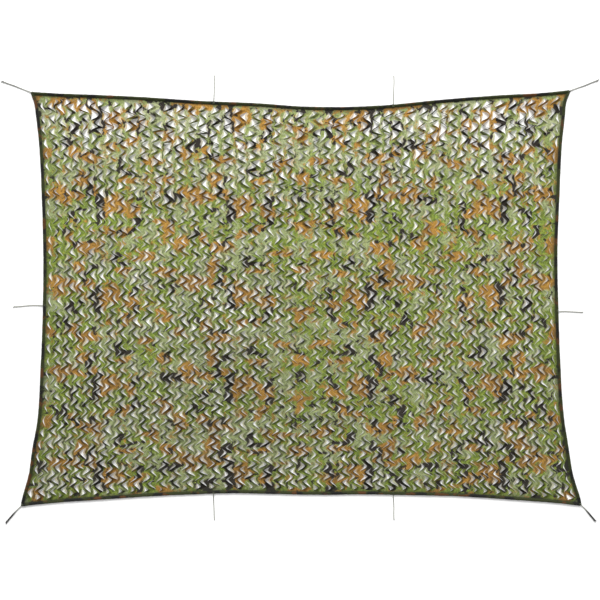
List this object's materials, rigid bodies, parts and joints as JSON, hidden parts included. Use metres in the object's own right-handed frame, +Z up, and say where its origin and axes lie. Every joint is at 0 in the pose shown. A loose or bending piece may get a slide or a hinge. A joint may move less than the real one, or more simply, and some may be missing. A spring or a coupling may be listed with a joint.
{
  "type": "camouflage netting",
  "caption": "Rectangular leaf-cut camouflage net laid flat, with a corded binding on all sides and short knotted tie cords at its corners and along its edges.",
  "frame": {"origin": "middle of the underside of the net's outer box, without its tie cords", "axes": "+X along the long sides, towards the right; +Y across the net, towards its top side; +Z up from the floor it lies on"},
  "size_m": [2.177, 1.6353, 0.009],
  "materials": {
    "printed_cloth": "matt polyester cloth printed in leaf green, olive, ochre and black, leaf-cut",
    "printed_binding": "the same printed cloth, folded over a cord and stitched",
    "tie_cord": "thin grey twisted cord, knotted at its end"
  },
  "bodies": {
    "root": {"net_cloth": "printed_cloth", "binding_top": "printed_binding", "binding_right": "printed_binding", "binding_bottom": "printed_binding", "binding_left": "printed_binding", "tie_corner_top_left": "tie_cord", "tie_corner_top_right": "tie_cord", "tie_corner_bottom_left": "tie_cord", "tie_corner_bottom_right": "tie_cord", "tie_top_left": "tie_cord", "tie_top_right": "tie_cord", "tie_bottom_left": "tie_cord", "tie_bottom_right": "tie_cord", "tie_left": "tie_cord", "tie_right": "tie_cord"}
  },
  "joints": []
}
